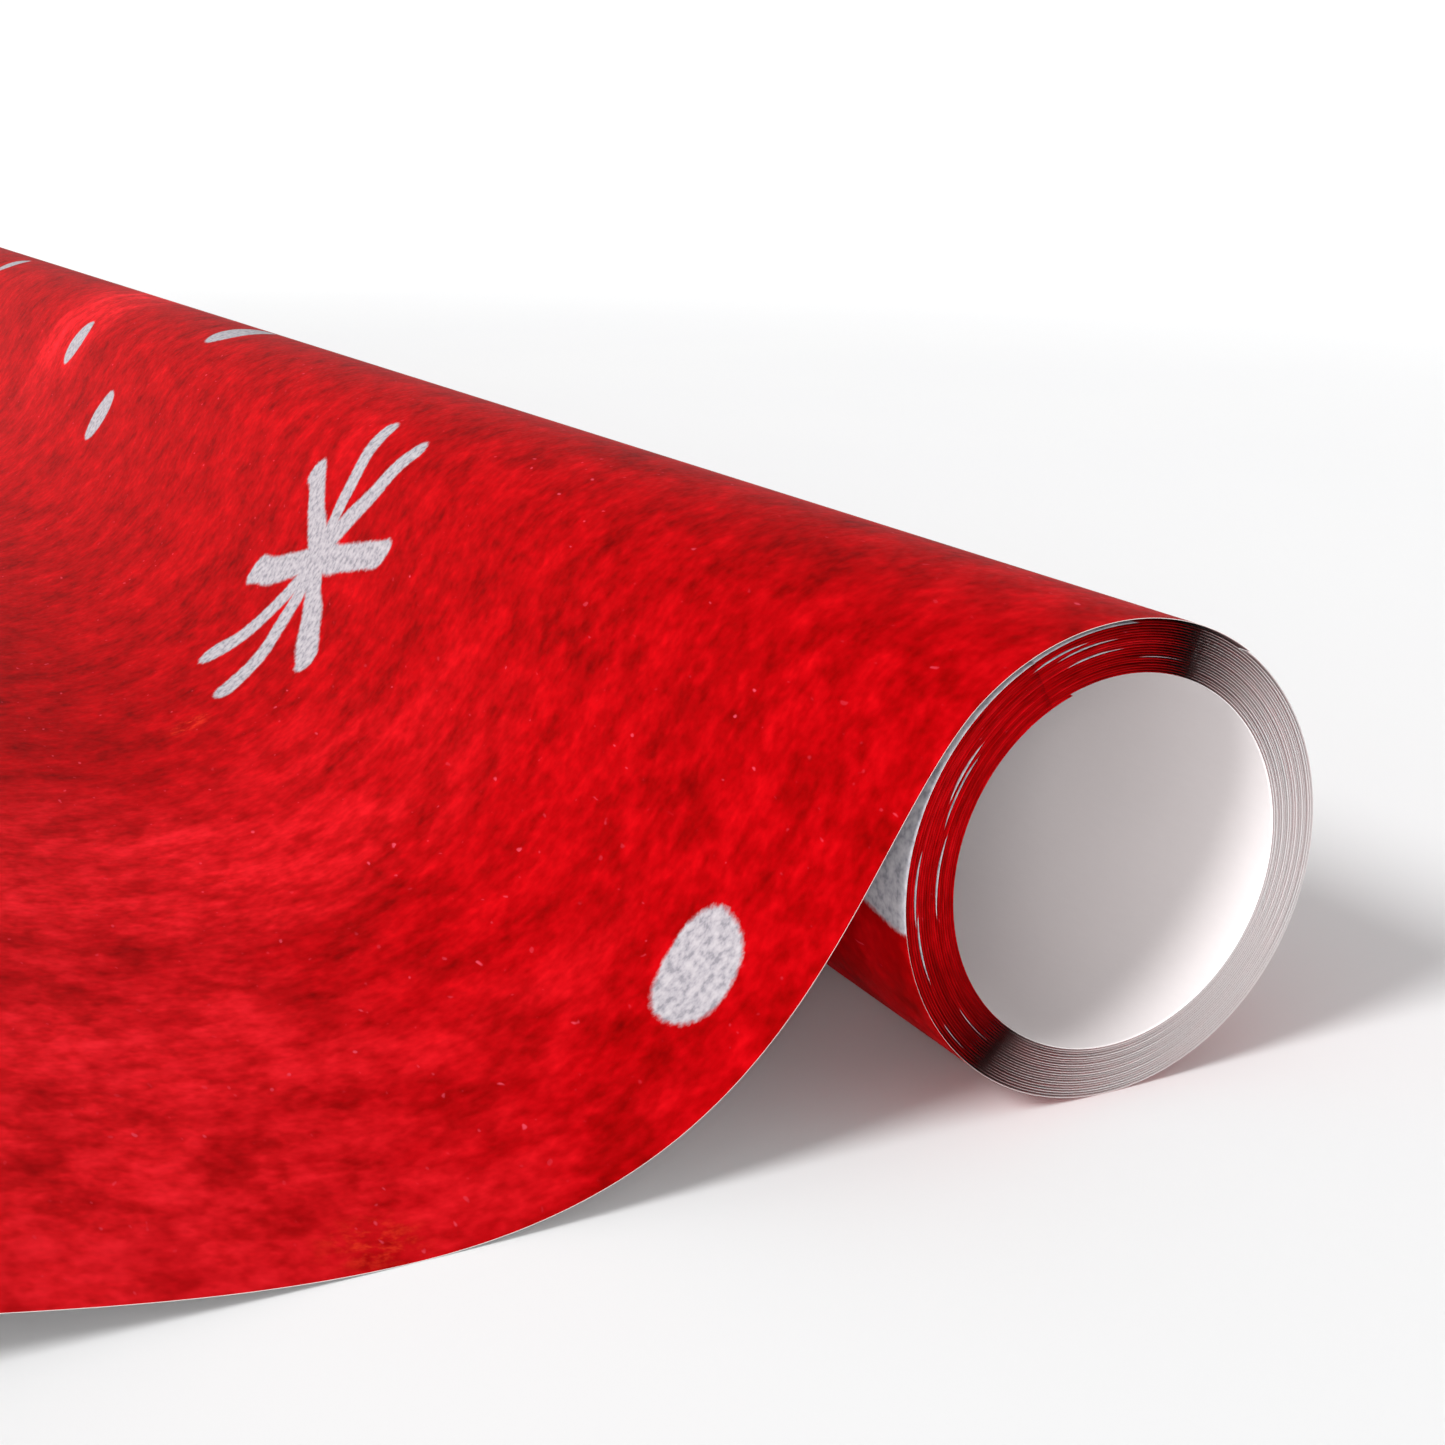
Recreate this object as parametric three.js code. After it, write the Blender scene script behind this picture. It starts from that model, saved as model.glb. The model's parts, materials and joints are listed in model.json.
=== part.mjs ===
// A partly unrolled roll of gift wrapping paper, without a core tube.
//
// The web of paper is wound clockwise, seen from the near end (-Y), from the outside in. Its free
// stretch leaves the top of the coil towards -X, slopes down to the ground, rises in one low wave
// and ends in a flat lead and a flap. The coil's axis runs along Y and the ground is Z = 0.
// Each turn of the coil, and each stretch of the free sheet, is one solid of its own.

import * as THREE from 'three';

// Driving dimensions, in millimetres and degrees. Angles go clockwise from the top of the coil.
const WEB_WIDTH = 762;
const PAPER = 0.12;
const COIL_RADIUS = 21.93;
const TURN_PITCH = 0.232;
const TURNS = 21;
const SEAM_ANGLE = 36;
const INNER_END_ANGLE = 333;
const LEAVING_ANGLE = -45;
const FACET_ANGLE = 9;
const BUTT_GAP = 0.3;

// The crest of the free sheet stays clear of the coil, which turns under it.
const CREST_CLEARANCE = 0.27;

// Free sheet: distances along X from the coil's axis, and how it bends.
const TOUCHDOWN = 64.5;
const RAMP_START_PULL = 15.2;
const RAMP_END_PULL = 33;
const WAVE_HALF_LENGTH = 75;
const WAVE_HEIGHT = 11;
const LEAD_LENGTH = 115;
const FLAP_LENGTH = 139;

// Straight pieces that a curved stretch of the free sheet is made of.
const RAMP_STEPS = 20;
const WAVE_STEPS = 14;

const PRINT_RED = 0xc8151c;
const BACK_WHITE = 0xf1eeea;
const PAPER_ROUGHNESS = 0.8;

// Sizes that follow from the driving dimensions.
const FULL_TURN = 360;
const OUTERMOST_SPAN = INNER_END_ANGLE - SEAM_ANGLE;
const radiusAfter = (woundAngle) => COIL_RADIUS - (TURN_PITCH * woundAngle) / FULL_TURN;
const AXIS_HEIGHT = radiusAfter(180 - SEAM_ANGLE);
const COIL_RIGHT_SIDE = radiusAfter(90 - SEAM_ANGLE);
const CREST_RADIUS = COIL_RADIUS + CREST_CLEARANCE + PAPER / 2;
const WAVE_END = TOUCHDOWN + 2 * WAVE_HALF_LENGTH;
const LEAD_END = WAVE_END + LEAD_LENGTH;
const FREE_END = LEAD_END + FLAP_LENGTH;

// The part's origin is the middle of its box, so the coil stands this far to the +X side of it.
const COIL_X = (FREE_END - COIL_RIGHT_SIDE) / 2;

/** A point of the end view, at an angle clockwise from the coil's top and a distance from its axis. */
function aroundAxis(angle, radius) {
  const radians = THREE.MathUtils.degToRad(angle);
  return new THREE.Vector2(radius * Math.sin(radians), radius * Math.cos(radians));
}

/** One solid of paper as wide as the web, from its two faces in the end view, relative to the axis. */
function paperStrip(name, upperFace, lowerFace, colour) {
  const outline = new THREE.Shape([...upperFace, ...lowerFace.reverse()]);
  const geometry = new THREE.ExtrudeGeometry(outline, { depth: WEB_WIDTH, bevelEnabled: false });
  geometry.rotateX(Math.PI / 2);
  geometry.translate(0, WEB_WIDTH / 2, 0);
  const material = new THREE.MeshStandardMaterial({
    color: colour,
    roughness: PAPER_ROUGHNESS,
    metalness: 0,
  });
  const mesh = new THREE.Mesh(geometry, material);
  mesh.name = name;
  return mesh;
}

/**
 * One turn of the coil. Turn 1, the outermost, starts under the sheet's end and is short of a full
 * turn, because the free sheet goes on from it. Every other turn starts and ends at the angle where
 * the web's inner end lies.
 */
function coilTurn(number) {
  const isOutermost = number === 1;
  const woundBefore = isOutermost ? 0 : OUTERMOST_SPAN + (number - 2) * FULL_TURN;
  const startAngle = SEAM_ANGLE + woundBefore;
  const span = isOutermost ? OUTERMOST_SPAN : FULL_TURN;
  const facets = span / FACET_ANGLE;
  const outerFace = [];
  const innerFace = [];
  for (let i = 0; i <= facets; i++) {
    const radius = radiusAfter(woundBefore + i * FACET_ANGLE);
    const gapAngle = i === facets ? THREE.MathUtils.radToDeg(BUTT_GAP / radius) : 0;
    const angle = startAngle + i * FACET_ANGLE - gapAngle;
    outerFace.push(aroundAxis(angle, radius));
    innerFace.push(aroundAxis(angle, radius - PAPER));
  }
  const label = String(number).padStart(2, '0');
  const colour = isOutermost ? PRINT_RED : BACK_WHITE;
  return paperStrip(`wrap_${label}`, outerFace, innerFace, colour);
}

/** A stretch of the free sheet along curves that follow on from one another, away from the coil. */
function sheetStretch(name, curves) {
  const upperFace = [];
  const lowerFace = [];
  for (const { curve, steps } of curves) {
    const first = upperFace.length === 0 ? 0 : 1;
    for (let i = first; i <= steps; i++) {
      const middle = curve.getPoint(i / steps);
      const along = curve.getTangent(i / steps);
      const up = new THREE.Vector2(along.y, -along.x).multiplyScalar(PAPER / 2);
      upperFace.push(middle.clone().add(up));
      lowerFace.push(middle.clone().sub(up));
    }
  }
  return paperStrip(name, upperFace, lowerFace, PRINT_RED);
}

/** A point of the free sheet's middle surface, at a distance from the axis and a height off the ground. */
function sheetPoint(distance, height) {
  return new THREE.Vector2(-distance, height + PAPER / 2 - AXIS_HEIGHT);
}

/** The sheet over the top of the coil, from its butt with turn 1 to where it starts to leave. */
function crestArc() {
  const clockwiseFromX = (angle) => THREE.MathUtils.degToRad(90 - angle);
  const gapAngle = THREE.MathUtils.radToDeg(BUTT_GAP / CREST_RADIUS);
  const start = clockwiseFromX(SEAM_ANGLE - gapAngle);
  const end = clockwiseFromX(LEAVING_ANGLE);
  const curve = new THREE.ArcCurve(0, 0, CREST_RADIUS, start, end, false);
  return { curve, steps: (SEAM_ANGLE - LEAVING_ANGLE) / FACET_ANGLE };
}

/** The slope from the coil's side down to the ground, level where it arrives. */
function ramp() {
  const leaving = aroundAxis(LEAVING_ANGLE, CREST_RADIUS);
  const heading = aroundAxis(LEAVING_ANGLE - 90, 1);
  const curve = new THREE.CubicBezierCurve(
    leaving,
    leaving.clone().addScaledVector(heading, RAMP_START_PULL),
    sheetPoint(TOUCHDOWN - RAMP_END_PULL, 0),
    sheetPoint(TOUCHDOWN, 0),
  );
  return { curve, steps: RAMP_STEPS };
}

/** Half of the low wave, level at both ends. */
function halfWave(from, to, startHeight, endHeight) {
  const third = (to - from) / 3;
  const curve = new THREE.CubicBezierCurve(
    sheetPoint(from, startHeight),
    sheetPoint(from + third, startHeight),
    sheetPoint(to - third, endHeight),
    sheetPoint(to, endHeight),
  );
  return { curve, steps: WAVE_STEPS };
}

function level(from, to) {
  return { curve: new THREE.LineCurve(sheetPoint(from, 0), sheetPoint(to, 0)), steps: 1 };
}

const waveTop = TOUCHDOWN + WAVE_HALF_LENGTH;

const roll = new THREE.Group();
roll.name = 'wrapping_paper_roll';
roll.position.set(COIL_X, 0, AXIS_HEIGHT);

for (let number = 1; number <= TURNS; number++) {
  roll.add(coilTurn(number));
}
roll.add(sheetStretch('sheet_crest', [crestArc(), ramp()]));
roll.add(sheetStretch('sheet_wave', [
  halfWave(TOUCHDOWN + BUTT_GAP, waveTop, 0, WAVE_HEIGHT),
  halfWave(waveTop, WAVE_END, WAVE_HEIGHT, 0),
]));
roll.add(sheetStretch('sheet_lead', [level(WAVE_END + BUTT_GAP, LEAD_END)]));
roll.add(sheetStretch('sheet_flap', [level(LEAD_END + BUTT_GAP, FREE_END)]));

export default roll;
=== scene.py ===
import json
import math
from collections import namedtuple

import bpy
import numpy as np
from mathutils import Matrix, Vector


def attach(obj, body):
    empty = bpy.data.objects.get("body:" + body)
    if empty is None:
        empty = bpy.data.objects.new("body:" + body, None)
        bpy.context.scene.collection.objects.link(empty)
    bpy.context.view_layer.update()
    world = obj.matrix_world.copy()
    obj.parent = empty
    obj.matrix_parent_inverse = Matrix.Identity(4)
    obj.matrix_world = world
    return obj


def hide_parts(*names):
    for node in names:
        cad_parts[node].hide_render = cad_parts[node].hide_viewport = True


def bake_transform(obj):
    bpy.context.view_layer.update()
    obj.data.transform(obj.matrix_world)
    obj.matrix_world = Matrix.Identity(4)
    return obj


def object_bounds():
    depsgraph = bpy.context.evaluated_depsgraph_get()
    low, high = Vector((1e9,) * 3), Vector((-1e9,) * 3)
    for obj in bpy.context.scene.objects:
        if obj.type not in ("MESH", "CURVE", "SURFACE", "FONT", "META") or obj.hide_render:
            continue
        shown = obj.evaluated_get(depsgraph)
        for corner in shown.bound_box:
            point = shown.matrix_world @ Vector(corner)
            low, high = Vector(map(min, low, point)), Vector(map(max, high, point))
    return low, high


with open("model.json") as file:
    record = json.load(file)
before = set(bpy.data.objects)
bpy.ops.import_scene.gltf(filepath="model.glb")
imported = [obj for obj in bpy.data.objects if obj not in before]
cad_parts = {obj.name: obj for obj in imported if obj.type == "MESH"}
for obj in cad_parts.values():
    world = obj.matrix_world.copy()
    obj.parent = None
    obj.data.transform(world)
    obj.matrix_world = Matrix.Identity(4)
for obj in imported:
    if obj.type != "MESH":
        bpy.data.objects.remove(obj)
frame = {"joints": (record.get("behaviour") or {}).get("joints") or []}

# The looks of a partly unrolled roll of gift wrapping paper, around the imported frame.
#
# The paper is one web, wound clockwise seen from the near end (-Y). Angles go clockwise from the top
# of the coil. Places on the web are (s, v): s runs along it, from the top of the coil towards the free
# end, so it is negative on the coil, and v runs across it from the near edge. Lengths are in
# millimetres up to the last step, where a mesh is made or the camera is placed in metres.

METRE = 0.001

cad_low, cad_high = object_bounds()
coil_joint = next(joint for joint in frame["joints"] if joint["name"] == "coil_turn")
flap_joint = next(joint for joint in frame["joints"] if joint["name"] == "flap_lift")

# ---------------------------------------------------------------- sizes of the web, in millimetres

AXIS_X, _, AXIS_Z = (value / METRE for value in coil_joint["pos_m"])
HINGE_X = flap_joint["pos_m"][0] / METRE
NEAR_Y = cad_low.y / METRE
FREE_END_X = cad_low.x / METRE
WEB_WIDTH = (cad_high.y - cad_low.y) / METRE

COIL_RADIUS = 21.93
TURN_PITCH = 0.232
TURNS = 21
SEAM_ANGLE = 36
INNER_END_ANGLE = 333
OUTERMOST_SPAN = INNER_END_ANGLE - SEAM_ANGLE
LEAVING_ANGLE = -45

# The innermost turn runs on by so many degrees past the angle of the inner end.
INNER_OVERRUN = 7

# How thick the paper is made, in the coil and in the free sheet.
COIL_PAPER = 0.02
SHEET_PAPER = 0.05

# The free sheet lies close over the coil, and lifts off from one angle on, at first slowly.
CREST_CLEARANCE = 0.04
CREST_RADIUS = COIL_RADIUS + CREST_CLEARANCE + SHEET_PAPER / 2
CREST_LIFT = 0.32
CREST_LIFT_ANGLE = -6
CREST_LIFT_POWER = 1.5

# Its middle surface where it lies down, above the floor and relative to the coil's axis.
FLOOR_LIFT = 0.06
GROUND = FLOOR_LIFT - AXIS_Z

# Its slope down to the ground, its low wave, the curl of its end and the bend at the flap's foot.
TOUCHDOWN = 64.5
RAMP_START_PULL = 15.2
RAMP_END_PULL = 33
WAVE_HALF_LENGTH = 75
WAVE_HEIGHT = 11
END_CURL_LENGTH = 34
END_CURL_HEIGHT = 3.2

# How finely the paper is cut up along its length.
STEPS_PER_TURN = 144
CREST_STEP_ANGLE = 1.5
RAMP_STEPS = 90
HALF_WAVE_STEPS = 60
FLAT_STEP = 2.5

# Rows across the web stand closer together near its two cut edges.
EDGE_ROWS = (0, 0.4, 1.5, 4, 9, 18, 34, 60, 95)
MIDDLE_ROWS = 9


def row_places():
    """Distances from the near edge, across the whole web."""
    near = list(EDGE_ROWS)
    middle = np.linspace(near[-1], WEB_WIDTH - near[-1], MIDDLE_ROWS + 2)[1:-1]
    far = [WEB_WIDTH - place for place in reversed(near)]
    return np.array(near + list(middle) + far)


ROWS = row_places()

# ---------------------------------------------------------------- shader graphs

# A fractal noise on the web. Its largest blotches are about `grain` millimetres across, and its shift
# keeps it from lining up with the others.
Noise = namedtuple("Noise", "grain detail roughness shift", defaults=((0, 0),))

# The stretch of a noise's values over which a finish changes.
FINISH_RANGE = (0.2, 0.8)


class Graph:
    """Builds one material's node graph. Values may be numbers, tuples or other nodes' outputs."""

    def __init__(self, name):
        self.material = bpy.data.materials.new(name)
        self.material.use_nodes = True
        self.tree = self.material.node_tree
        self.shader = self.tree.nodes["Principled BSDF"]

    def feed(self, socket, value):
        if isinstance(value, bpy.types.NodeSocket):
            self.tree.links.new(value, socket)
        else:
            socket.default_value = value

    def node(self, kind, inputs=(), **settings):
        made = self.tree.nodes.new("ShaderNode" + kind)
        for key, value in settings.items():
            setattr(made, key, value)
        for key, value in dict(inputs).items():
            self.feed(made.inputs[key], value)
        return made

    def math(self, operation, a, b=0.0, c=0.0):
        return self.node("Math", {0: a, 1: b, 2: c}, operation=operation).outputs[0]

    def vector(self, operation, a, b=(0.0, 0.0, 0.0)):
        return self.node("VectorMath", {0: a, 1: b}, operation=operation).outputs["Vector"]

    def measure(self, operation, a, b=(0.0, 0.0, 0.0)):
        return self.node("VectorMath", {0: a, 1: b}, operation=operation).outputs["Value"]

    def scaled(self, a, factor):
        made = self.node("VectorMath", {0: a, "Scale": factor}, operation="SCALE")
        return made.outputs["Vector"]

    def noise(self, place, kind, output="Fac"):
        if any(kind.shift):
            place = self.vector("ADD", place, (*kind.shift, 0))
        inputs = {"Vector": place, "Scale": 1 / kind.grain}
        inputs.update({"Detail": kind.detail, "Roughness": kind.roughness})
        return self.node("TexNoise", inputs, noise_dimensions="2D").outputs[output]

    def offset(self, place, kind, reach):
        """How far a noise moves a place: up to half its reach each way."""
        cloud = self.vector("SUBTRACT", self.noise(place, kind, output="Color"), (0.5, 0.5, 0.5))
        return self.scaled(cloud, reach)

    def ease(self, value, low, high, to_low=0.0, to_high=1.0):
        """A smooth step of value from low to high."""
        inputs = {"Value": value, "From Min": low, "From Max": high, "To Min": to_low, "To Max": to_high}
        return self.node("MapRange", inputs, interpolation_type="SMOOTHSTEP").outputs["Result"]

    def mix(self, factor, a, b):
        made = self.node("Mix", data_type="RGBA")
        self.feed(made.inputs["Factor"], factor)
        self.feed(made.inputs["A"], a)
        self.feed(made.inputs["B"], b)
        return made.outputs["Result"]

    def ramp(self, value, stops):
        made = self.node("ValToRGB", {"Fac": value})
        elements = made.color_ramp.elements
        while len(elements) < len(stops):
            elements.new(0.5)
        for element, (position, colour) in zip(elements, stops):
            element.position = position
            element.color = colour
        return made.outputs["Color"]

    def finish(self, colour, grain, roughness, refraction):
        """Colour, and a finish that varies with the grain between two values of roughness."""
        self.feed(self.shader.inputs["Base Color"], colour)
        self.feed(self.shader.inputs["Roughness"], self.ease(grain, *FINISH_RANGE, *roughness))
        self.feed(self.shader.inputs["IOR"], refraction)

    def bump(self, height, strength, distance):
        """Surface relief; distance is in millimetres."""
        inputs = {"Height": height, "Strength": strength, "Distance": distance * METRE}
        self.feed(self.shader.inputs["Normal"], self.node("Bump", inputs).outputs["Normal"])


def srgb(red, green, blue):
    """A colour given as it looks on a screen, 0 to 255, as linear light."""

    def linear(value):
        share = value / 255
        return share / 12.92 if share <= 0.04045 else ((share + 0.055) / 1.055) ** 2.4

    return (linear(red), linear(green), linear(blue), 1.0)


def web_place(graph):
    """(s, v) in millimetres, from the mesh's own web coordinates, which are in metres."""
    return graph.scaled(graph.node("UVMap", uv_map="web").outputs["UV"], 1 / METRE)


# ---------------------------------------------------------------- the print

# The pattern repeats along the web. A flake is four crossing strokes: centre, turn in degrees.
REPEAT = 480
REPEAT_START = -30
FLAKES = (
    ((36.4, 161.3), 0),
    ((182, 96), 20),
    ((318, 236), -9),
    ((166, 402), 31),
    ((84, 572), 12),
    ((296, 548), -24),
    ((402, 96), 8),
    ((398, 690), 27),
    ((212, 700), 3),
)
STROKE_ANGLES = (75.4, 29.3, -14.2, -59.0)
STROKE_REACH = 23.8
STROKE_HALF_WIDTH = 2.35
FLAKE_CORE = 4.8

# Snowballs: centre and radius.
DOTS = (
    ((48, 15.3), 5.8),
    ((35, 342), 6.0),
    ((22, 408), 6.5),
    ((2, 304), 7.5),
    ((6.5, 606), 6.0),
    ((128, 50), 6.4),
    ((104, 262), 5.8),
    ((140, 318), 6.2),
    ((112, 474), 6.6),
    ((232, 190), 6.0),
    ((252, 392), 7.0),
    ((150, 648), 6.0),
    ((300, 20), 6.3),
    ((346, 140), 5.6),
    ((352, 420), 6.4),
    ((330, 640), 6.8),
    ((420, 318), 6.0),
    ((286, 738), 5.5),
    ((424, 520), 6.6),
    ((60, 718), 6.2),
    ((232, 300), 5.4),
)

# Where snowballs cross the near edge of the wound web: how far in they reach, and the turn, the angle
# and the half length at the edge of each.
EDGE_MARK_DEPTH = 0.3
EDGE_MARKS = (
    (5, 273, 3.4),
    (6, 257.5, 3.4),
    (4, 339.5, 2.9),
    (6, 347.5, 3.1),
    (10, 303.5, 2.9),
    (12, 298.5, 3.3),
    (10, 349, 2.9),
    (14, 276, 3.7),
    (4, 232, 1.7),
    (12, 230, 2.3),
    (15, 10.5, 2.4),
)

# One big snowball at the near edge of the outermost turn, half under the free sheet.
BIG_DOT_ANGLE = 312
BIG_DOT_ACROSS = 1.0
BIG_DOT_RADIUS = 18.5

# The hand-drawn outline: a slow drift and a fine fuzz move its places, and its edge is a little soft.
DRIFT = Noise(grain=13, detail=1, roughness=0.5)
DRIFT_REACH = 2.6
FUZZ = Noise(grain=0.9, detail=2, roughness=0.7)
FUZZ_REACH = 0.8
MOTIF_SOFTNESS = 0.4
EDGE_MARK_FUZZ_REACH = 0.12
EDGE_MARK_SOFTNESS = 0.05
FAR_AWAY = 1000.0

# Blotches of the felt, broad to fine, each with its weight in the tone.
BLOTCHES = (
    (Noise(grain=30, detail=2, roughness=0.5), 0.3),
    (Noise(grain=7, detail=3, roughness=0.7, shift=(731, 212)), 1.05),
    (Noise(grain=1.9, detail=2, roughness=0.6, shift=(97, 403)), 0.55),
)

# Lighter, pinker felt. A few broad places, given by centre and radius, with a swaying outline, are
# painted light and painted sheen on the crest and the low wave. Faint clouds all over are the felt's own
# tone. Both are broken up, down to the least share.
PAINTED_LIGHT_PLACES = (((118, 24), 70), ((100, 95), 48), ((6, 420), 46))
PAINTED_LIGHT_CORE = 0.2
SWAY = Noise(grain=45, detail=2, roughness=0.5)
SWAY_REACH = 60
CLOUDS = Noise(grain=120, detail=3, roughness=0.5, shift=(640, 90))
CLOUDS_RANGE = (0.5, 0.75)
CLOUDS_SHARE = 0.4
PALE_BREAKS = Noise(grain=8, detail=3, roughness=0.6, shift=(305, 150))
PALE_BREAKS_RANGE = (0.3, 0.62)
PALE_LEAST_SHARE = 0.45

# Warm blushes in the felt: centre and radius.
BLUSHES = (((85, 4), 6), ((67, 150), 5), ((300, 330), 9), ((210, 610), 7), ((-90, 520), 6))
BLUSH_COLOUR = srgb(220, 50, 30)
BLUSH_BREAKS = Noise(grain=2.2, detail=3, roughness=0.7)
BLUSH_BREAKS_RANGE = (0.42, 0.75)

# Pale lint: fibres drawn out across the web, gathered here and there.
LINT_COLOUR = srgb(228, 80, 100)
LINT_STRETCH = (1, 0.45, 1)
LINT = Noise(grain=1.1, detail=1, roughness=0.5, shift=(11, 394.65))
LINT_RANGE = (0.77, 0.86)
GATHERING = Noise(grain=16, detail=2, roughness=0.5)
GATHERING_RANGE = (0.45, 0.62)
GATHERING_SHARES = (0.15, 0.6)

# Grey flecks in the white of the motifs.
FLECKS = Noise(grain=1.0, detail=2, roughness=0.6, shift=(53, 61))

# Colours of the felt and of the motifs, dark to light: place on the ramp, and colour.
FELT_TONES = (
    (0.0, srgb(98, 0, 0)),
    (0.3, srgb(140, 1, 2)),
    (0.5, srgb(163, 1, 5)),
    (0.7, srgb(184, 3, 10)),
    (1.0, srgb(212, 8, 18)),
)
# The lighter, pinker tones serve both the felt's own faint clouds and the painted light and painted
# sheen; the pink stands in for sheen.
PALER_FELT_AND_PAINTED_LIGHT_TONES = (
    (0.0, srgb(150, 6, 9)),
    (0.3, srgb(192, 14, 19)),
    (0.5, srgb(218, 22, 30)),
    (0.7, srgb(236, 31, 41)),
    (1.0, srgb(250, 44, 55)),
)
SNOW_TONES = (
    (0.3, srgb(138, 136, 143)),
    (0.45, srgb(163, 160, 166)),
    (0.6, srgb(177, 173, 178)),
    (0.78, srgb(187, 184, 187)),
)

# Finish of the printed side: roughness, refraction, and strength and depth of its relief.
PRINT_GRAIN = Noise(grain=0.8, detail=2, roughness=0.6)
PRINT_ROUGHNESS = (0.42, 0.5)
PRINT_REFRACTION = 1.04
PRINT_RELIEF = (0.12, 0.05)


def radius_after(wound):
    """Outer radius of the coil where the web has gone `wound` degrees round from the seam."""
    return COIL_RADIUS - TURN_PITCH * wound / 360


def web_distance(wound):
    """s of the web where it has gone `wound` degrees round from the seam, inwards."""
    mean_radius = (COIL_RADIUS + radius_after(wound)) / 2
    return -COIL_RADIUS * math.radians(SEAM_ANGLE) - mean_radius * math.radians(wound)


def wound_at(turn, angle):
    """How far round from the seam a place on the coil is. Turn 1 is the outermost."""
    return (turn - 1) * 360 + angle - SEAM_ANGLE


def disc_distance(graph, place, centre, radius):
    """Distance outside a disc; negative inside."""
    return graph.math("SUBTRACT", graph.measure("DISTANCE", place, (*centre, 0)), radius)


def stroke_distance(graph, place, angle):
    """Distance outside a straight stroke with round ends, through the origin."""
    direction = (math.cos(math.radians(angle)), math.sin(math.radians(angle)), 0)
    along = graph.measure("DOT_PRODUCT", place, direction)
    held = graph.node("Clamp", {"Value": along, "Min": -STROKE_REACH, "Max": STROKE_REACH}).outputs[0]
    nearest = graph.scaled(direction, held)
    return graph.math("SUBTRACT", graph.measure("DISTANCE", place, nearest), STROKE_HALF_WIDTH)


def flake_distance(graph, place, centre, turn):
    """Distance outside a flake; negative inside."""
    local = graph.vector("SUBTRACT", place, (*centre, 0))
    found = disc_distance(graph, local, (0, 0), FLAKE_CORE)
    for angle in STROKE_ANGLES:
        found = graph.math("MINIMUM", found, stroke_distance(graph, local, angle + turn))
    return found


def repeated(graph, place):
    """(place on the repeating pattern, the same place unrepeated), both flattened to the web."""
    split = graph.node("SeparateXYZ", {"Vector": place})
    along, across = split.outputs["X"], split.outputs["Y"]
    start = graph.math("SUBTRACT", along, REPEAT_START)
    turned = graph.math("ADD", graph.math("FLOORED_MODULO", start, REPEAT), REPEAT_START)
    tile = graph.node("CombineXYZ", {"X": turned, "Y": across}).outputs["Vector"]
    flat = graph.node("CombineXYZ", {"X": along, "Y": across}).outputs["Vector"]
    return tile, flat


def motif_mask(graph, web):
    """1 on the printed flakes and snowballs, 0 on the felt, with a soft hand-drawn edge."""
    drawn = graph.vector("ADD", web, graph.offset(web, DRIFT, DRIFT_REACH))
    drawn = graph.vector("ADD", drawn, graph.offset(web, FUZZ, FUZZ_REACH))
    tile, flat = repeated(graph, drawn)
    found = FAR_AWAY
    for centre, turn in FLAKES:
        found = graph.math("MINIMUM", found, flake_distance(graph, tile, centre, turn))
    for centre, radius in DOTS:
        found = graph.math("MINIMUM", found, disc_distance(graph, tile, centre, radius))
    centre = (web_distance(wound_at(1, BIG_DOT_ANGLE)), BIG_DOT_ACROSS)
    found = graph.math("MINIMUM", found, disc_distance(graph, flat, centre, BIG_DOT_RADIUS))
    mask = graph.ease(found, -MOTIF_SOFTNESS, MOTIF_SOFTNESS, 1.0, 0.0)
    return graph.math("MAXIMUM", mask, edge_mark_mask(graph, web))


def edge_mark_mask(graph, web):
    """The thin slivers of snowballs at the near edge, which show between the turns."""
    place = graph.vector("ADD", web, graph.offset(web, FUZZ, EDGE_MARK_FUZZ_REACH))
    found = FAR_AWAY
    for turn, angle, reach in EDGE_MARKS:
        radius = (reach**2 + EDGE_MARK_DEPTH**2) / (2 * EDGE_MARK_DEPTH)
        centre = (web_distance(wound_at(turn, angle)), EDGE_MARK_DEPTH - radius)
        found = graph.math("MINIMUM", found, disc_distance(graph, place, centre, radius))
    return graph.ease(found, -EDGE_MARK_SOFTNESS, EDGE_MARK_SOFTNESS, 1.0, 0.0)


def felt_tone(graph, web):
    """Light and dark blotches of the felt, from a few centimetres across down to single fibres."""
    tone = 0.5
    for kind, weight in BLOTCHES:
        blotch = graph.math("SUBTRACT", graph.noise(web, kind), 0.5)
        tone = graph.math("MULTIPLY_ADD", blotch, weight, tone)
    return tone


def paler_felt_and_painted_light_share(graph, web):
    """How much of the lighter felt shows: its own faint clouds, and broad places of painted light and
    painted sheen.
    """
    swayed = graph.vector("ADD", web, graph.offset(web, SWAY, SWAY_REACH))
    share = graph.ease(graph.noise(web, CLOUDS), *CLOUDS_RANGE, 0.0, CLOUDS_SHARE)
    for centre, radius in PAINTED_LIGHT_PLACES:
        distance = graph.measure("DISTANCE", swayed, (*centre, 0))
        spot = graph.ease(distance, PAINTED_LIGHT_CORE * radius, radius, 1.0, 0.0)
        share = graph.math("MAXIMUM", share, spot)
    breaks = graph.ease(graph.noise(web, PALE_BREAKS), *PALE_BREAKS_RANGE, PALE_LEAST_SHARE, 1.0)
    return graph.math("MULTIPLY", share, breaks)


def blush_share(graph, web):
    """How much of the warm blushes shows."""
    share = 0.0
    for centre, radius in BLUSHES:
        distance = graph.measure("DISTANCE", web, (*centre, 0))
        share = graph.math("MAXIMUM", share, graph.ease(distance, 0, radius, 1.0, 0.0))
    breaks = graph.ease(graph.noise(web, BLUSH_BREAKS), *BLUSH_BREAKS_RANGE)
    return graph.math("MULTIPLY", share, breaks)


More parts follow.
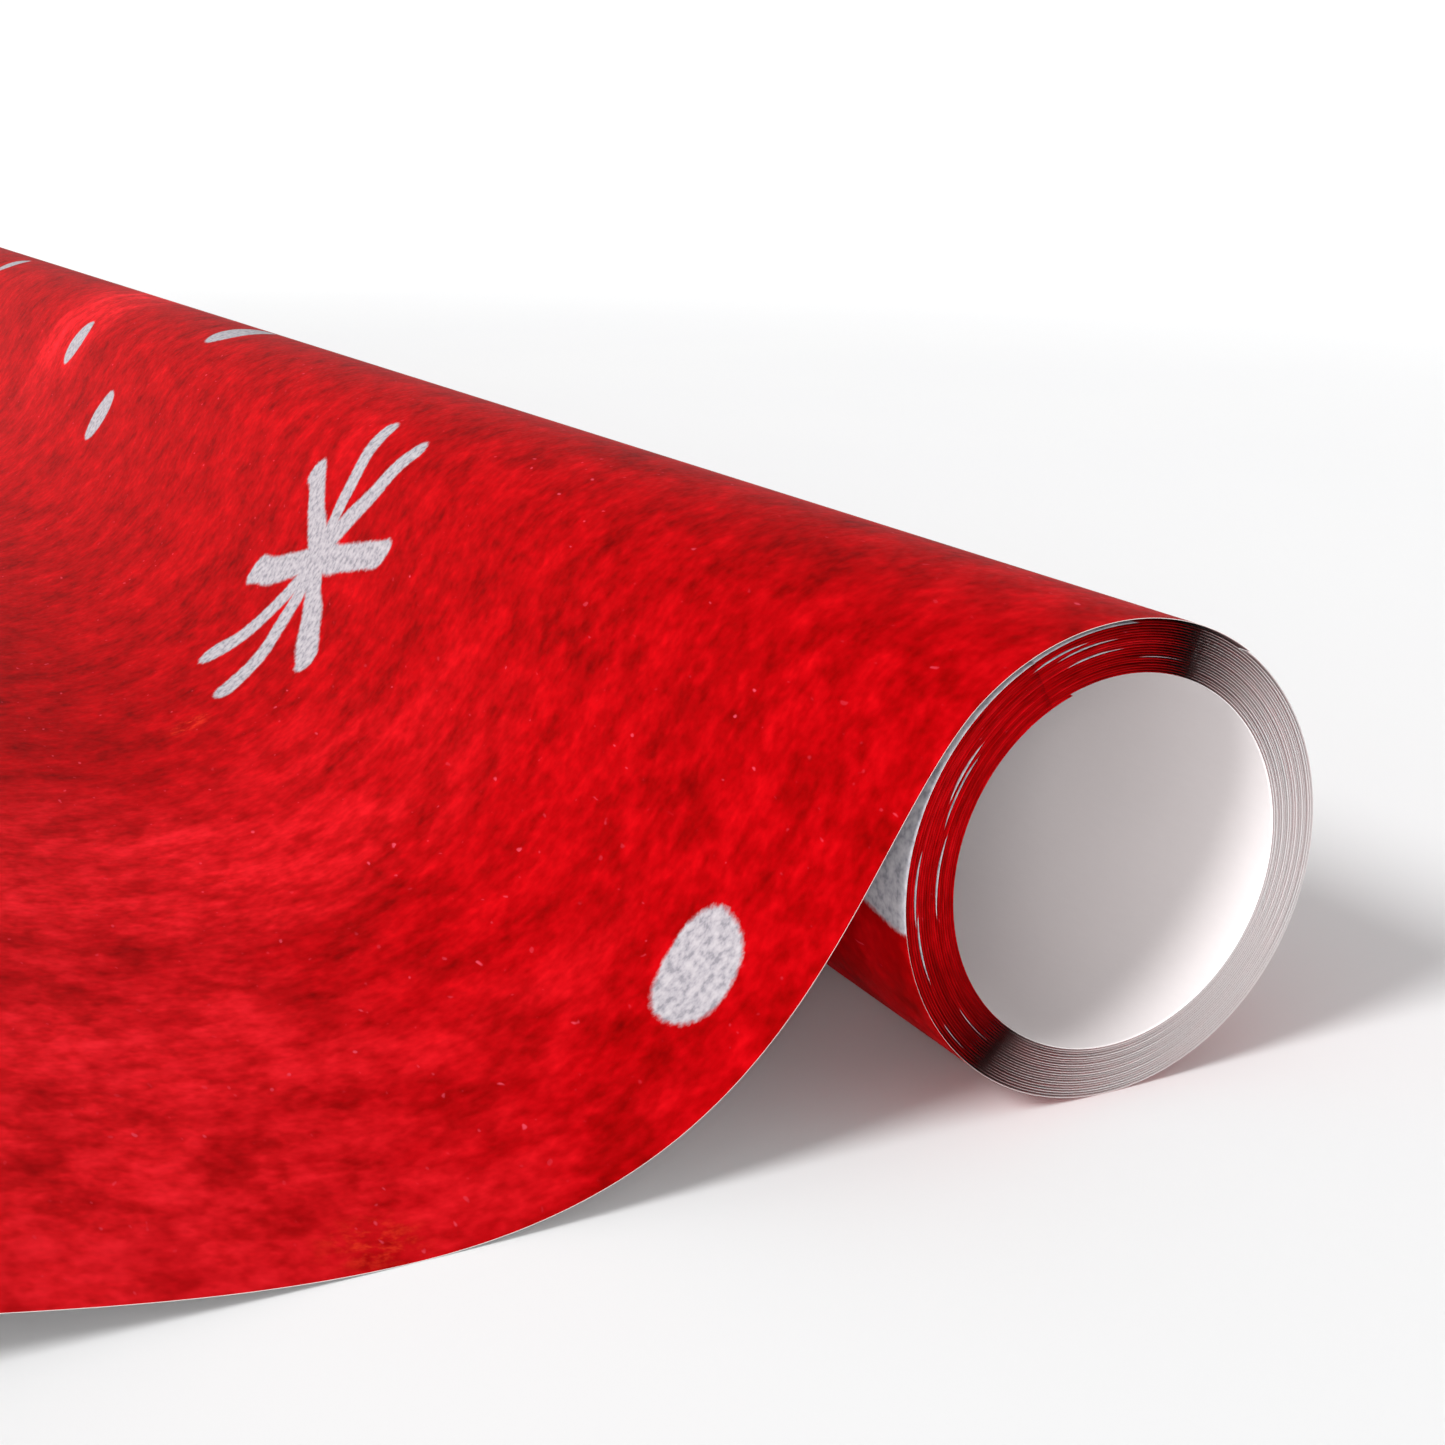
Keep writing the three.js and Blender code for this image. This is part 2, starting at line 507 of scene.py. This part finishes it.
def lint_share(graph, web):
    """How much of the pale lint shows."""
    drawn_out = graph.vector("MULTIPLY", web, LINT_STRETCH)
    lint = graph.ease(graph.noise(drawn_out, LINT), *LINT_RANGE)
    gathered = graph.ease(graph.noise(web, GATHERING), *GATHERING_RANGE, *GATHERING_SHARES)
    return graph.math("MULTIPLY", lint, gathered)


def felt_colour(graph, web):
    """Red felt, with lighter places of its own tone and of painted light and painted sheen, warm blushes
    and pale lint.
    """
    tone = felt_tone(graph, web)
    paler_and_painted_light = graph.ramp(tone, PALER_FELT_AND_PAINTED_LIGHT_TONES)
    colour = graph.mix(paler_felt_and_painted_light_share(graph, web), graph.ramp(tone, FELT_TONES), paler_and_painted_light)
    colour = graph.mix(blush_share(graph, web), colour, BLUSH_COLOUR)
    return graph.mix(lint_share(graph, web), colour, LINT_COLOUR)


def print_material():
    graph = Graph("printed_paper")
    web = web_place(graph)
    snow = graph.ramp(graph.noise(web, FLECKS), SNOW_TONES)
    colour = graph.mix(motif_mask(graph, web), felt_colour(graph, web), snow)
    grain = graph.noise(web, PRINT_GRAIN)
    graph.finish(colour, grain, PRINT_ROUGHNESS, PRINT_REFRACTION)
    graph.bump(grain, *PRINT_RELIEF)
    return graph.material


# ---------------------------------------------------------------- the plain side, edges and floor

# The unprinted side: faint clouds, and fibres drawn out across the web.
BACK_CLOUDS = Noise(grain=24, detail=2, roughness=0.5)
BACK_CLOUDS_SHARE = 0.6
BACK_FIBRES = Noise(grain=0.6, detail=3, roughness=0.6)
BACK_FIBRES_STRETCH = (1, 0.25, 1)
BACK_FIBRES_SHARE = 0.4
BACK_ROUGHNESS = (0.55, 0.7)
BACK_REFRACTION = 1.3
BACK_RELIEF = (0.15, 0.03)

# A cut edge, with the fibres that the knife pulled.
EDGE_FIBRES = Noise(grain=0.7, detail=3, roughness=0.7)
EDGE_ROUGHNESS = (0.7, 0.9)
EDGE_REFRACTION = 1.2

# The floor is a faint haze of two greys. Between two distances from its middle it turns whiter: painted
# light, so that the far floor fades into the bright horizon of the room.
FLOOR_HALF_SIZE = 4000
FLOOR_HAZE = Noise(grain=160, detail=2, roughness=0.5)
FLOOR_GREYS = (srgb(239, 239, 240), srgb(241, 241, 241))
FLOOR_FAR_PAINTED_LIGHT = srgb(254, 254, 254)
FLOOR_FAR_RANGE = (500, 1200)
FLOOR_ROUGHNESS = 0.9


def back_material(name, light, dark):
    graph = Graph(name)
    web = web_place(graph)
    cloud = graph.noise(web, BACK_CLOUDS)
    fibre = graph.noise(graph.vector("MULTIPLY", web, BACK_FIBRES_STRETCH), BACK_FIBRES)
    clouds = graph.math("MULTIPLY", cloud, BACK_CLOUDS_SHARE)
    tone = graph.math("ADD", clouds, graph.math("MULTIPLY", fibre, BACK_FIBRES_SHARE))
    graph.finish(graph.mix(tone, dark, light), fibre, BACK_ROUGHNESS, BACK_REFRACTION)
    graph.bump(fibre, *BACK_RELIEF)
    return graph.material


def edge_material(name, light, dark):
    graph = Graph(name)
    fibre = graph.noise(web_place(graph), EDGE_FIBRES)
    graph.finish(graph.mix(fibre, dark, light), fibre, EDGE_ROUGHNESS, EDGE_REFRACTION)
    return graph.material


def floor_material():
    graph = Graph("studio_floor")
    place = graph.scaled(graph.node("TexCoord").outputs["Object"], 1 / METRE)
    near = graph.mix(graph.noise(place, FLOOR_HAZE), *FLOOR_GREYS)
    far = graph.ease(graph.measure("LENGTH", place), *FLOOR_FAR_RANGE)
    graph.feed(graph.shader.inputs["Base Color"], graph.mix(far, near, FLOOR_FAR_PAINTED_LIGHT))
    graph.feed(graph.shader.inputs["Roughness"], FLOOR_ROUGHNESS)
    graph.feed(graph.shader.inputs["Specular IOR Level"], 0.0)
    return graph.material


# ---------------------------------------------------------------- meshes of paper

PRINT_SLOT, BACK_SLOT, EDGE_SLOT = range(3)
CORNERS_OF_A_FACE = 4


def paper_piece(name, printed, back, web, materials, cut_end=False, level_ends=False):
    """A closed thin piece of paper. printed and back are its two faces as (steps, rows, 3) points in
    millimetres, and web is s at each step. Its last rim shows a cut edge only with cut_end, where the
    web itself ends, and print where the next piece goes on. With level_ends the shading does not bend
    towards the rims, so that flat pieces meet without a line."""
    steps, rows = printed.shape[:2]
    count = steps * rows
    points = np.concatenate([printed.reshape(-1, 3), back.reshape(-1, 3)]) * METRE
    index = np.arange(count).reshape(steps, rows)
    top = np.stack([index[:-1, :-1], index[1:, :-1], index[1:, 1:], index[:-1, 1:]], -1).reshape(-1, 4)
    under = top[:, ::-1] + count
    rim = np.concatenate([index[:, 0], index[-1, 1:], index[-2::-1, -1], index[0, -2::-1]])
    sides = np.stack([rim[1:], rim[:-1], rim[:-1] + count, rim[1:] + count], -1)
    faces = np.concatenate([top, under, sides])
    mesh = bpy.data.meshes.new(name)
    mesh.from_pydata(points.tolist(), [], faces.tolist())
    long_rim = [EDGE_SLOT] * (steps - 1)
    last_rim = [EDGE_SLOT if cut_end else PRINT_SLOT] * (rows - 1)
    first_rim = [PRINT_SLOT] * (rows - 1)
    broad = [PRINT_SLOT] * len(top) + [BACK_SLOT] * len(under)
    kinds = broad + long_rim + last_rim + long_rim + first_rim
    mesh.polygons.foreach_set("material_index", kinds)
    mesh.polygons.foreach_set("use_smooth", [face < len(broad) for face in range(len(kinds))])
    if level_ends:
        borders = np.zeros(len(mesh.loops), np.int32)
        mesh.loops.foreach_get("edge_index", borders)
        sharp = np.zeros(len(mesh.edges), bool)
        sharp[borders[CORNERS_OF_A_FACE * len(broad) :]] = True
        mesh.edges.foreach_set("use_edge_sharp", sharp)
    place = np.zeros((steps, rows, 2))
    place[..., 0] = np.asarray(web)[:, None]
    place[..., 1] = ROWS[None, :]
    place = np.concatenate([place.reshape(-1, 2)] * 2) * METRE
    corners = np.zeros(len(mesh.loops), np.int32)
    mesh.loops.foreach_get("vertex_index", corners)
    mesh.uv_layers.new(name="web").data.foreach_set("uv", place[corners].ravel())
    for material in materials:
        mesh.materials.append(material)
    mesh.validate()
    piece = bpy.data.objects.new(name, mesh)
    bpy.context.scene.collection.objects.link(piece)
    return piece


def placed(x, z, across):
    """Points of the frame, from places in the end view relative to the coil's axis and distances from
    the near edge."""
    points = np.zeros((*np.broadcast(x, across).shape, 3))
    points[..., 0] = AXIS_X + x
    points[..., 1] = NEAR_Y + across
    points[..., 2] = AXIS_Z + z
    return points


# ---------------------------------------------------------------- the coil

# The turns lie a little inside the perfect spiral. Their slack grows over the first turns, and fades
# again towards the innermost one.
SLACK = 0.1
SLACK_GROWS_OVER = 2.5

# No turn is quite round. Waves of the slack as the web goes round: height, waves in a turn and phase.
# One more also changes along the coil's length. They set in over so many degrees from the seam, and
# their mean keeps the slack above zero.
ROUND_WAVES = ((0.012, 1.31, 0.0), (0.009, 2.17, 1.7))
ASKEW_WAVE = 0.008
ASKEW_WAVES_IN_A_TURN = 0.43
ASKEW_MILLIMETRES_PER_RADIAN = 90
WAVES_MEAN = 0.03
WAVES_SET_IN_OVER = 200

# How far the near edge of the web stands in from a flat end, and its waves as it goes round.
EDGE_SET_IN = 0.04
EDGE_WAVES = ((0.025, 0.71, 0.0), (0.015, 2.3, 0.6))


def waves(radians, terms):
    """The sum of some sine waves, each given as height, waves in a turn and phase."""
    return sum(height * np.sin(rate * radians + phase) for height, rate, phase in terms)


def turn_slack(wound, across):
    """How far inside its perfect spiral the web lies. Always positive, so that the coil stays clear of
    the sheet and the ground."""
    turns = wound / 360
    looser = SLACK * (1 - np.exp(-turns / SLACK_GROWS_OVER)) * (1 - turns / TURNS)
    radians = np.radians(wound)
    askew = np.sin(ASKEW_WAVES_IN_A_TURN * radians + across / ASKEW_MILLIMETRES_PER_RADIAN)
    wander = waves(radians, ROUND_WAVES) + ASKEW_WAVE * askew
    settle = 1 - np.exp(-wound / WAVES_SET_IN_OVER)
    return looser + settle * (wander + WAVES_MEAN)


def edge_shift(wound):
    """How far the near edge of each turn stands in from a flat end."""
    return EDGE_SET_IN + waves(np.radians(wound), EDGE_WAVES)


def coil_turn(number, materials):
    """One turn of the coil, from where the turn before it ends."""
    outermost = number == 1
    start = 0 if outermost else OUTERMOST_SPAN + (number - 2) * 360
    span = OUTERMOST_SPAN if outermost else 360
    span += INNER_OVERRUN if number == TURNS else 0
    steps = round(STEPS_PER_TURN * span / 360)
    wound = np.linspace(start, start + span, steps + 1)[:, None]
    angle = np.radians(SEAM_ANGLE + wound)
    across = ROWS[None, :] + edge_shift(wound) * (1 - 2 * ROWS[None, :] / WEB_WIDTH)
    outer = radius_after(wound) - turn_slack(wound, across)
    inner = outer - COIL_PAPER
    printed = placed(outer * np.sin(angle), outer * np.cos(angle), across)
    back = placed(inner * np.sin(angle), inner * np.cos(angle), across)
    web = [web_distance(value) for value in wound[:, 0]]
    name = f"paper_turn_{number:02d}"
    piece = paper_piece(name, printed, back, web, materials, cut_end=number == TURNS)
    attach(piece, "coil")
    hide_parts(f"wrap_{number:02d}")


# ---------------------------------------------------------------- the free sheet


def bezier(points, steps):
    """Points along a cubic curve with two ends and two pulls."""
    share = np.linspace(0, 1, steps + 1)[:, None]
    rest = 1 - share
    first, first_pull, last_pull, last = (np.array(point, float) for point in points)
    curve = rest**3 * first + 3 * rest**2 * share * first_pull
    return curve + 3 * rest * share**2 * last_pull + share**3 * last


def crest_arc():
    """Over the top of the coil, from the seam to where the sheet leaves it, lifting off on the way."""
    steps = round((SEAM_ANGLE - LEAVING_ANGLE) / CREST_STEP_ANGLE)
    angles = SEAM_ANGLE - CREST_STEP_ANGLE * np.arange(steps + 1)
    leaving = np.clip((CREST_LIFT_ANGLE - angles) / (CREST_LIFT_ANGLE - LEAVING_ANGLE), 0, 1)
    radius = CREST_RADIUS + CREST_LIFT * leaving**CREST_LIFT_POWER
    radians = np.radians(angles)
    return np.stack([radius * np.sin(radians), radius * np.cos(radians)], -1)


def slope(leaving):
    """From the coil's side down to the ground, level where it arrives."""
    heading = math.radians(LEAVING_ANGLE - 90)
    pull = leaving + RAMP_START_PULL * np.array([math.sin(heading), math.cos(heading)])
    arriving = (-TOUCHDOWN + RAMP_END_PULL, GROUND)
    return bezier((leaving, pull, arriving, (-TOUCHDOWN, GROUND)), RAMP_STEPS)


def half_wave(start, end):
    """Half of the low wave, level at both ends, from one place (x, z) to another."""
    third = np.array([(end[0] - start[0]) / 3, 0])
    return bezier((start, start + third, end - third, end), HALF_WAVE_STEPS)


def level_places(start, end):
    """Places along X after start, a step apart, and then the end itself."""
    return np.append(np.arange(start - FLAT_STEP, end + FLAT_STEP, -FLAT_STEP), end)


def sheet_path():
    """The points of the free sheet's middle surface in the end view, relative to the axis, and the
    numbers of the points where one piece ends and the next begins."""
    arc = crest_arc()
    wave_start = np.array([-TOUCHDOWN, GROUND])
    wave_top = wave_start + (-WAVE_HALF_LENGTH, WAVE_HEIGHT)
    wave_end = wave_start + (-2 * WAVE_HALF_LENGTH, 0)
    rise = half_wave(wave_start, wave_top)
    fall = half_wave(wave_top, wave_end)
    curved = np.concatenate([arc, slope(arc[-1])[1:], rise[1:], fall[1:]])
    lead = level_places(wave_end[0], HINGE_X - AXIS_X)
    flap = level_places(HINGE_X - AXIS_X, FREE_END_X - AXIS_X)
    curl = np.clip((flap[-1] + END_CURL_LENGTH - flap) / END_CURL_LENGTH, 0, 1)
    lead_points = np.stack([lead, np.full(len(lead), GROUND)], -1)
    flap_points = np.stack([flap, GROUND + END_CURL_HEIGHT * curl**2], -1)
    path = np.concatenate([curved, lead_points, flap_points])
    crest_end = len(curved) - 1
    return path, (0, crest_end, crest_end + len(lead), len(path) - 1)


def free_sheet(materials):
    """The free sheet as three pieces that meet edge to edge: crest with wave, lead and flap."""
    path, ends = sheet_path()
    lengths = np.linalg.norm(np.diff(path, axis=0), axis=1)
    web = np.concatenate([[0], np.cumsum(lengths)]) - COIL_RADIUS * math.radians(SEAM_ANGLE)
    along = np.gradient(path, axis=0)
    along = along / np.linalg.norm(along, axis=1)[:, None]
    up = np.stack([along[:, 1], -along[:, 0]], -1) * SHEET_PAPER / 2
    pieces = []
    for name, first, last in zip(("paper_crest", "paper_lead", "paper_flap"), ends, ends[1:]):
        faces = []
        for sign in (1, -1):
            face = (path + sign * up)[first : last + 1]
            faces.append(placed(face[:, :1], face[:, 1:], ROWS[None, :]))
        stretch = web[first : last + 1]
        is_last = name == "paper_flap"
        piece = paper_piece(name, *faces, stretch, materials, cut_end=is_last, level_ends=True)
        length = (web[last] - web[first]) * METRE
        pieces.append((piece, length))
    return pieces


def settle_free_sheet(pieces):
    """Bakes the crest and the flap into place, hangs the lead on its body, and hides the frame's parts
    that the pieces stand for.
    """
    (crest, crest_length), (lead, lead_length), (flap, flap_length) = pieces
    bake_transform(crest)
    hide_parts("sheet_crest", "sheet_wave")
    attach(lead, "lead")
    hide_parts("sheet_lead")
    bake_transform(flap)
    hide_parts("sheet_flap")


# ---------------------------------------------------------------- studio

# The camera: its place from the near end of the coil's axis, its turn and tilt in degrees, its lens and
# sensor, and the distances between which it sees.
CAMERA_FROM_COIL = (-105.58, -134.42, 60.60)
CAMERA_YAW = 26.46
CAMERA_PITCH = 15.89
CAMERA_LENS = 50.70
CAMERA_SENSOR = 36
CAMERA_RANGE = (10, 30000)

# The room is brightest at the horizon: strength there and overhead, and between which heights of a
# direction of length 1 it dims.
HORIZON_STRENGTH = 1.02
ZENITH_STRENGTH = 0.43
HORIZON_RISE = (0.2, 0.5)

# Each lamp: strength, elevation, azimuth from -X towards -Y, and how wide it looks, in degrees.
LAMPS = {
    "key": (2.5, 38, 10, 18),
    "fill": (2.65, 5, 63, 36),
}


def make_camera():
    data = bpy.data.cameras.new("studio_camera")
    data.lens = CAMERA_LENS
    data.sensor_width = CAMERA_SENSOR
    data.clip_start, data.clip_end = (distance * METRE for distance in CAMERA_RANGE)
    camera = bpy.data.objects.new("studio_camera", data)
    bpy.context.scene.collection.objects.link(camera)
    end = Vector((AXIS_X, NEAR_Y, AXIS_Z))
    camera.location = (end + Vector(CAMERA_FROM_COIL)) * METRE
    camera.rotation_euler = (math.radians(90 - CAMERA_PITCH), 0, math.radians(-CAMERA_YAW))
    bpy.context.scene.camera = camera


def make_world():
    """A white room, dimmer overhead."""
    world = bpy.data.worlds.new("studio")
    bpy.context.scene.world = world
    world.use_nodes = True
    tree = world.node_tree
    direction = tree.nodes.new("ShaderNodeTexCoord").outputs["Generated"]
    split = tree.nodes.new("ShaderNodeSeparateXYZ")
    strength = tree.nodes.new("ShaderNodeMapRange")
    strength.interpolation_type = "SMOOTHSTEP"
    strength.inputs["From Min"].default_value = HORIZON_RISE[0]
    strength.inputs["From Max"].default_value = HORIZON_RISE[1]
    strength.inputs["To Min"].default_value = HORIZON_STRENGTH
    strength.inputs["To Max"].default_value = ZENITH_STRENGTH
    background = tree.nodes["Background"]
    background.inputs["Color"].default_value = (1.0, 1.0, 1.0, 1.0)
    tree.links.new(direction, split.inputs["Vector"])
    tree.links.new(split.outputs["Z"], strength.inputs["Value"])
    tree.links.new(strength.outputs["Result"], background.inputs["Strength"])


def make_lamps():
    """A key lamp from the free sheet's side, and a broad low fill from towards the near end."""
    for name, (strength, elevation, azimuth, spread) in LAMPS.items():
        data = bpy.data.lights.new(name, "SUN")
        data.energy = strength
        data.angle = math.radians(spread)
        lamp = bpy.data.objects.new(name, data)
        bpy.context.scene.collection.objects.link(lamp)
        up, round_axis = math.radians(elevation), math.radians(azimuth)
        towards_lamp = Vector((
            -math.cos(round_axis) * math.cos(up),
            -math.sin(round_axis) * math.cos(up),
            math.sin(up),
        ))
        lamp.rotation_euler = towards_lamp.to_track_quat("Z", "Y").to_euler()


def make_floor():
    mesh = bpy.data.meshes.new("studio_floor")
    size = FLOOR_HALF_SIZE * METRE
    corners = [(-size, -size, 0), (size, -size, 0), (size, size, 0), (-size, size, 0)]
    mesh.from_pydata(corners, [], [(0, 1, 2, 3)])
    mesh.materials.append(floor_material())
    floor = bpy.data.objects.new("studio_floor", mesh)
    bpy.context.scene.collection.objects.link(floor)


make_camera()
make_world()
make_lamps()
make_floor()

printed_paper = print_material()

# The plain back is one paper in three shades. In the bore it is lighter, as painted light; in the gaps
# between the turns it is darker and less pink, as painted shade; under the free sheet it is darker
# still, as painted shade.
bore_back_painted_light = back_material("bore_back_painted_light", srgb(231, 225, 225), srgb(223, 217, 217))
gap_back_painted_shade = back_material("gap_back_painted_shade", srgb(207, 207, 207), srgb(199, 199, 199))
sheet_back_painted_shade = back_material("sheet_back_painted_shade", srgb(184, 180, 180), srgb(168, 164, 164))
sheet_edge = edge_material("sheet_edge", srgb(226, 216, 214), srgb(196, 180, 178))
# The cut edges of the inner turns are dark red: painted shade for the dark lines between the turns. The
# outermost turn and the free sheet show the pale cut edge.
coil_edge_painted_shade = edge_material("coil_edge_painted_shade", srgb(70, 16, 18), srgb(44, 6, 7))

for number in range(1, TURNS + 1):
    turn_back = bore_back_painted_light if number == TURNS else gap_back_painted_shade
    turn_edge = sheet_edge if number == 1 else coil_edge_painted_shade
    coil_turn(number, (printed_paper, turn_back, turn_edge))
settle_free_sheet(free_sheet((printed_paper, sheet_back_painted_shade, sheet_edge)))

bpy.context.scene.view_settings.view_transform = "Standard"
bpy.context.scene.view_settings.look = "None"
